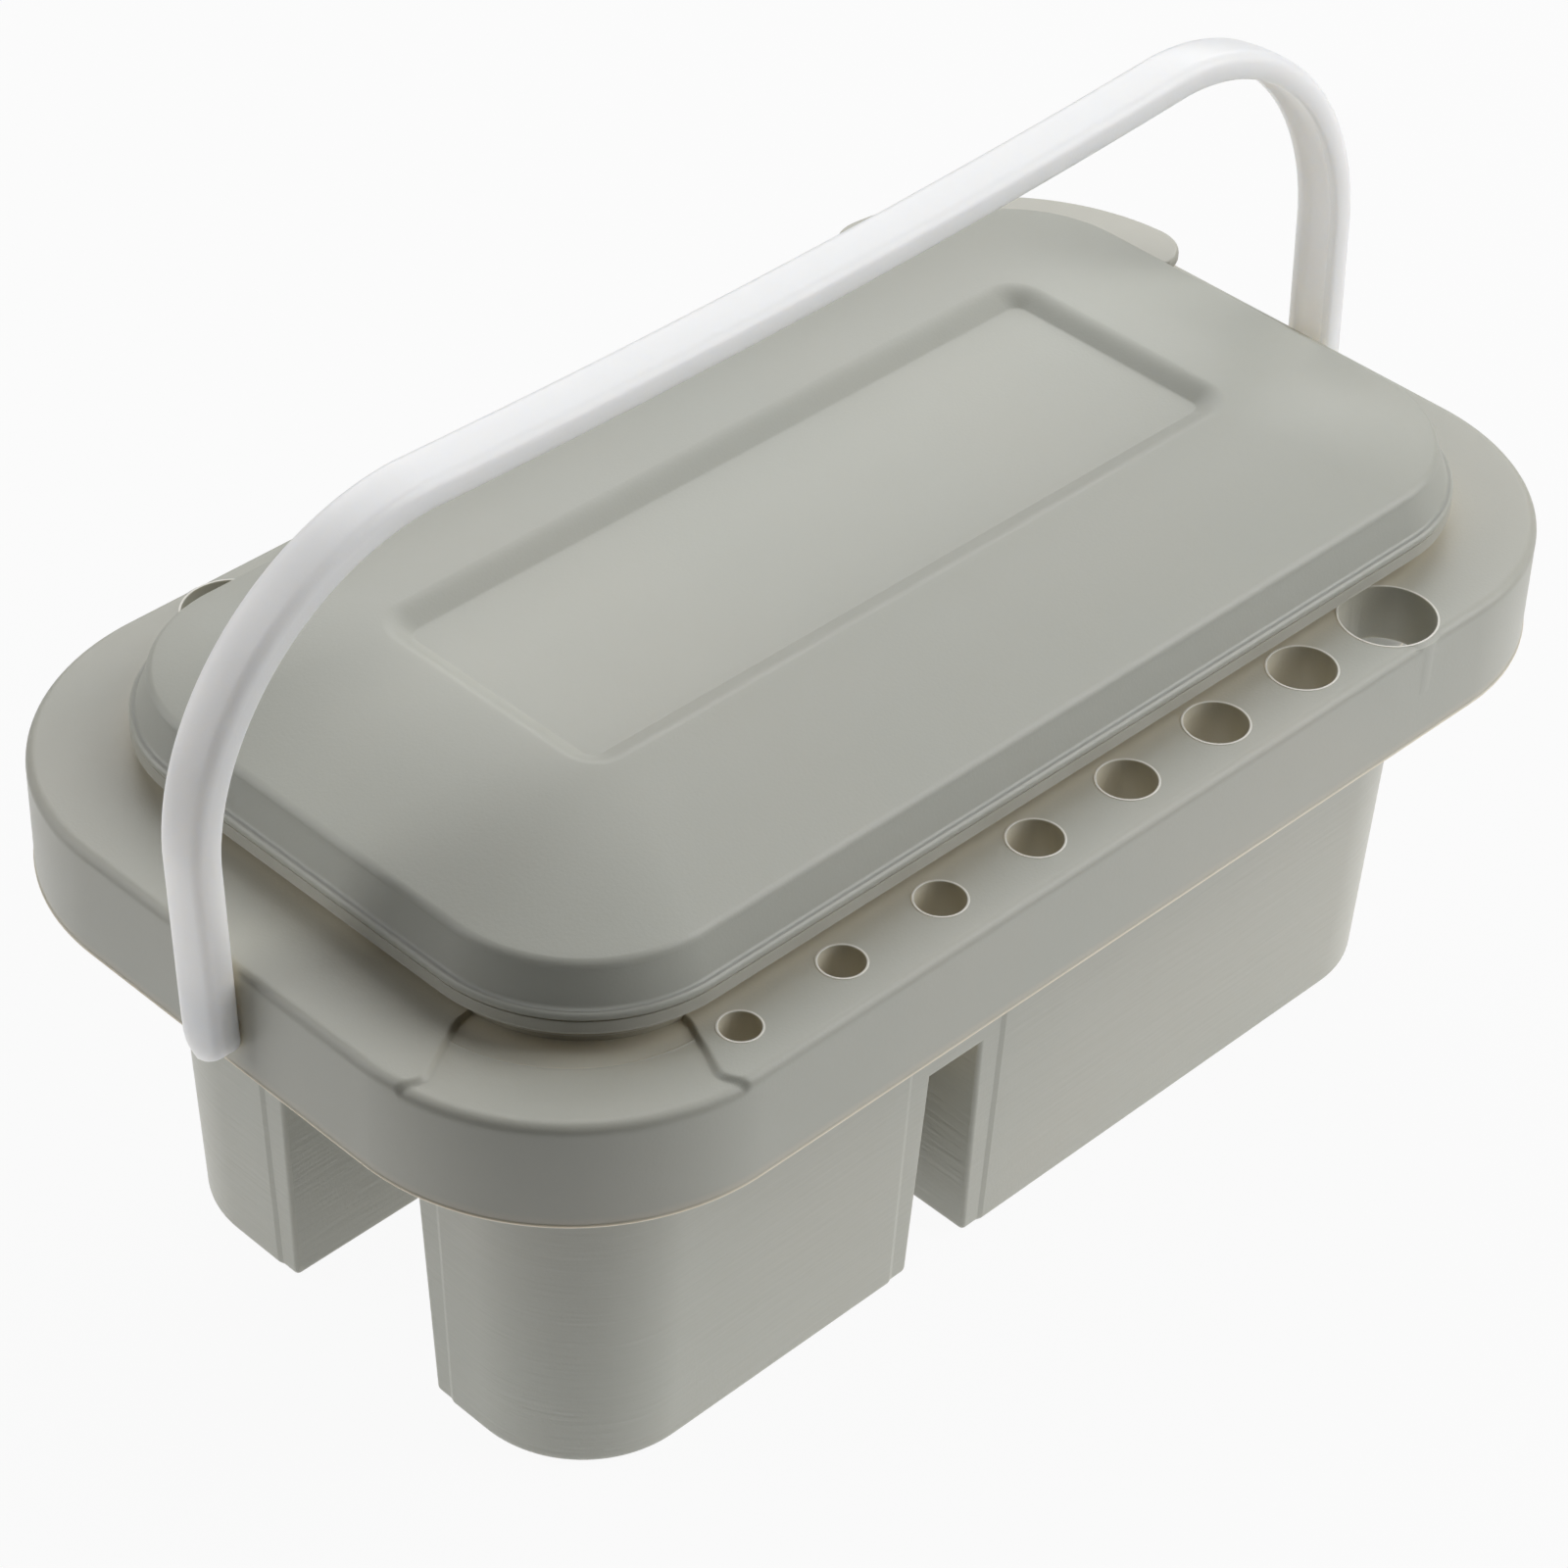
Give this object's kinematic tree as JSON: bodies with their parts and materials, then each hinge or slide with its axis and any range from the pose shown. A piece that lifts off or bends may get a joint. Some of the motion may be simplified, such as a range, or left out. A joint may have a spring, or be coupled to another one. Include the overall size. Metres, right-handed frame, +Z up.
{
  "type": "brush washer",
  "caption": "Oblong brush washer bucket with a split base, brush holes round its rim, a lift-out palette tray, a domed lid and a bail handle.",
  "frame": {"origin": "on the underside of the large compartment, level with the table, under the middle of the rim", "axes": "+X along the rim towards the large compartment, +Y away from the row of brush holes that grows towards +X, +Z up"},
  "size_m": [0.2726, 0.1539, 0.1702],
  "materials": {
    "bucket_plastic": "satin moulded, light grey",
    "tray_plastic": "satin moulded, light warm grey",
    "lid_plastic": "satin moulded, light grey",
    "handle_plastic": "smooth moulded, white"
  },
  "bodies": {
    "bucket": {"bucket": "bucket_plastic"},
    "palette_tray": {"palette_tray": "tray_plastic"},
    "lid": {"lid": "lid_plastic"},
    "handle": {"handle": "handle_plastic"}
  },
  "joints": [
    {"name": "handle_swing", "type": "hinge", "parent": "bucket", "child": "handle", "pos_m": [0, 0, 0.0836], "axis": [1, 0, 0], "range_deg": [-130, 133]},
    {"name": "tray_lift", "type": "slide", "parent": "bucket", "child": "palette_tray", "axis": [0, 0, 1], "range_m": [0, 0.035]},
    {"name": "lid_lift", "type": "slide", "parent": "palette_tray", "child": "lid", "axis": [0, 0, 1], "range_m": [0, 0.035]}
  ]
}
